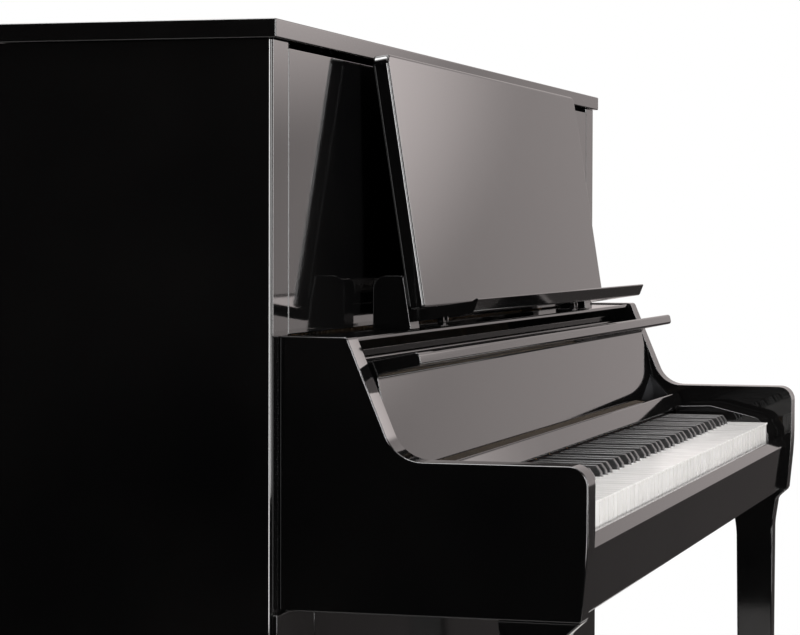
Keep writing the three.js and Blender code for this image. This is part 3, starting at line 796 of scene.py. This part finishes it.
def pedal(name):
    """A brass pedal: a slim stem that swells into a crowned, rounded foot plate."""
    low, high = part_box(f"pedal_{name}")
    x = (low.x + high.x) / 2
    middle = (low.z + high.z) / 2
    stem = 9 * MM
    steps, sides = 28, 20
    rings = []
    for i in range(steps + 1):
        share = i / steps
        swell = 1 / (1 + math.exp((share - 0.38) * 22))
        end = min(1, share / 0.085)
        nose = 1 - (1 - end) ** 2
        half = stem * (1 + swell) * math.sqrt(max(0.02, nose))
        thick = (2.2 + 2.6 * math.sqrt(max(0.05, nose))) * MM
        ring = []
        for k in range(sides):
            angle = -2 * math.pi * (k + 1) / sides
            c, s = math.cos(angle), math.sin(angle)
            u = math.copysign(abs(c) ** 0.45, c) * half
            v = math.copysign(abs(s) ** 0.7, s) * thick
            ring.append((x + u, low.y + (high.y - low.y) * share, middle + v))
        rings.append(ring)
    build = Build()
    build.loft(rings)
    piece(f"{name}_pedal_lever", build, [BRASS], f"{name}_pedal",
          replaces=[f"pedal_{name}"])


def caster(row, end):
    """A wheel with a brass hub, a rubber tyre with rounded shoulders, and its axle."""
    low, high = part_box(f"caster_wheel_{row}_{end}")
    centre = (low + high) / 2
    radius = (high.z - low.z) / 2
    width = 24 * MM
    axle_length = high.x - low.x
    start = (centre.x - width / 2, centre.y, centre.z)
    build = Build()
    tyre = [
        (0, radius - 6 * MM),
        (0, radius - 3 * MM),
        (1 * MM, radius - 1 * MM),
        (3 * MM, radius),
    ]
    build.turned(mirrored(tyre, width), start, (1, 0, 0), 48, 1)
    hub = [(-0.6 * MM, 4.5 * MM), (-0.6 * MM, radius - 7.5 * MM), (0.6 * MM, radius - 6.4 * MM)]
    build.turned(mirrored(hub, width), start, (1, 0, 0), 40, 0)
    axle = [(0, 1.6 * MM), (0.6 * MM, 2.9 * MM)]
    build.turned(mirrored(axle, axle_length), (low.x, centre.y, centre.z), (1, 0, 0), 20, 0)
    piece(f"wheel_{row}_{end}", build, [BRASS, RUBBER], f"{row}_{end}_wheel",
          replaces=[f"caster_wheel_{row}_{end}"])


# ---------------------------------------------------------------- fittings

def lid_hinge():
    """The lid's long hinge: a row of knuckles behind the case and the leaf screwed to the case."""
    build = Build()
    low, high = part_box("lid")
    start, end = low.x + 40 * MM, high.x - 40 * MM
    step = (end - start) / HINGE_KNUCKLES
    knuckle = mirrored([(0, 1.8 * MM), (0.4 * MM, 2.3 * MM)], step - 0.4 * MM)
    for i in range(HINGE_KNUCKLES):
        x = start + i * step
        build.turned(knuckle, (x, high.y - 2.6 * MM, low.z - 2.8 * MM), (1, 0, 0), 14)
        if i % 3 == 1:
            at = (x + step / 2, CASE_BACK + 1.3 * MM, low.z - 15 * MM)
            screw(build, at, (0, 1, 0), 3.2 * MM)
    build.block((start, CASE_BACK + 0.1 * MM, low.z - 22 * MM),
                (end, CASE_BACK + 1.4 * MM, low.z - 5.4 * MM))
    piece("lid_long_hinge", build, [BRASS], "case")


def screw(build, at, along, radius):
    """A domed screw or bolt head."""
    profile = [
        (0, radius),
        (0.5 * MM, radius * 0.97),
        (0.9 * MM, radius * 0.75),
        (1.1 * MM, radius * 0.3),
    ]
    build.turned(profile, at, along, 14)


def back_fittings():
    """Two bolts through each post, into the back frame's top and bottom beams."""
    build = Build()
    for x in POST_X:
        for z in BOLT_Z:
            screw(build, (x, CASE_BACK, z), (0, 1, 0), 7 * MM)
    piece("back_bolts", build, [STEEL], "case")


# ---------------------------------------------------------------- stage

def camera():
    data = bpy.data.cameras.new("camera")
    data.lens = CAMERA_LENS
    data.sensor_width = 36
    data.clip_end = 100
    cam = bpy.data.objects.new("camera", data)
    bpy.context.scene.collection.objects.link(cam)
    cy, sy = math.cos(CAMERA_YAW), math.sin(CAMERA_YAW)
    level = math.cos(CAMERA_PITCH)
    ahead = Vector((cy * level, sy * level, math.sin(CAMERA_PITCH)))
    right = Vector((sy, -cy, 0))
    up = right.cross(ahead)
    tilted = right * math.cos(CAMERA_ROLL) + up * math.sin(CAMERA_ROLL)
    up = up * math.cos(CAMERA_ROLL) - right * math.sin(CAMERA_ROLL)
    turn = Matrix((tilted, up, -ahead)).transposed().to_4x4()
    cam.matrix_world = Matrix.Translation(CAMERA_AT) @ turn
    bpy.context.scene.camera = cam


def area_light(name, at, aim, size, power, shine_only):
    """A soft rectangular light; shine_only leaves it out of diffuse shading."""
    data = bpy.data.lights.new(name, "AREA")
    data.shape = "RECTANGLE"
    data.size, data.size_y = size
    data.energy = power
    light = bpy.data.objects.new(name, data)
    light.location = at
    light.rotation_euler = (Vector(aim) - Vector(at)).to_track_quat("-Z", "Y").to_euler()
    light.visible_diffuse = not shine_only
    bpy.context.scene.collection.objects.link(light)


def surroundings():
    """A soft glow that is brightest beyond the treble end, seen as plain white by the camera."""
    world = bpy.data.worlds.new("studio")
    bpy.context.scene.world = world
    world.use_nodes = True
    tree = world.node_tree
    background = tree.nodes["Background"]
    coords = tree.nodes.new("ShaderNodeTexCoord")
    split = tree.nodes.new("ShaderNodeSeparateXYZ")
    tree.links.new(coords.outputs["Generated"], split.inputs["Vector"])

    def fade(value, start, end, low, high):
        node = tree.nodes.new("ShaderNodeMapRange")
        node.interpolation_type = "SMOOTHSTEP"
        sockets = ("From Min", "From Max", "To Min", "To Max")
        for socket, number in zip(sockets, (start, end, low, high)):
            node.inputs[socket].default_value = number
        tree.links.new(value, node.inputs["Value"])
        return node.outputs["Result"]

    def combine(operation, first, second):
        node = tree.nodes.new("ShaderNodeMath")
        node.operation = operation
        tree.links.new(first, node.inputs[0])
        tree.links.new(second, node.inputs[1])
        return node.outputs["Value"]

    across = fade(split.outputs["X"], *TREBLE_GLOW)
    horizon = fade(split.outputs["Z"], *HORIZON)
    toward = tree.nodes.new("ShaderNodeVectorMath")
    toward.operation = "DOT_PRODUCT"
    toward.inputs[1].default_value = PANEL_LIGHT
    tree.links.new(coords.outputs["Generated"], toward.inputs[0])
    glow = fade(toward.outputs["Value"], *PANEL_GLOW)
    light = combine("ADD", combine("MULTIPLY", across, horizon), glow)
    path = tree.nodes.new("ShaderNodeLightPath")
    seen = tree.nodes.new("ShaderNodeMix")
    seen.data_type = "FLOAT"
    tree.links.new(path.outputs["Is Camera Ray"], seen.inputs["Factor"])
    tree.links.new(light, seen.inputs["A"])
    seen.inputs["B"].default_value = 1.0
    tree.links.new(seen.outputs["Result"], background.inputs["Strength"])
    tint = tree.nodes.new("ShaderNodeMix")
    tint.data_type = "RGBA"
    tree.links.new(path.outputs["Is Camera Ray"], tint.inputs["Factor"])
    tint.inputs["A"].default_value = (1, 0.905, 0.89, 1)
    tint.inputs["B"].default_value = (1, 1, 1, 1)
    tree.links.new(tint.outputs["Result"], background.inputs["Color"])


def pale_floor():
    """A plain round floor, small enough that grazing reflections pass beyond it."""
    mesh = bpy.data.meshes.new("floor")
    sides = 96
    rim = [2 * math.pi * i / sides for i in range(sides)]
    points = [(FLOOR_R * math.cos(a), FLOOR_R * math.sin(a), 0) for a in rim]
    mesh.from_pydata(points, [], [tuple(range(sides))])
    floor = bpy.data.objects.new("floor", mesh)
    bpy.context.scene.collection.objects.link(floor)
    shader = Shader("pale_floor", Roughness=0.8)
    shader.tint(shader.noise(2, 3), (0.84, 0.84, 0.83), (0.88, 0.88, 0.87))
    mesh.materials.append(shader.material)


def studio():
    """A pale floor under soft light, with colours shown as they are."""
    surroundings()
    bpy.context.scene.view_settings.view_transform = "Standard"
    for light in LIGHTS:
        area_light(*light)
    pale_floor()


camera()
studio()
dress_frame()
side_panels()
keyboard()
key_felts()
strings()
action()
for pedal_name in ("soft", "practice", "sustain"):
    pedal(pedal_name)
for wheel_row in ("front", "rear"):
    for wheel_end in ("left", "right"):
        caster(wheel_row, wheel_end)
back_fittings()
lid_hinge()
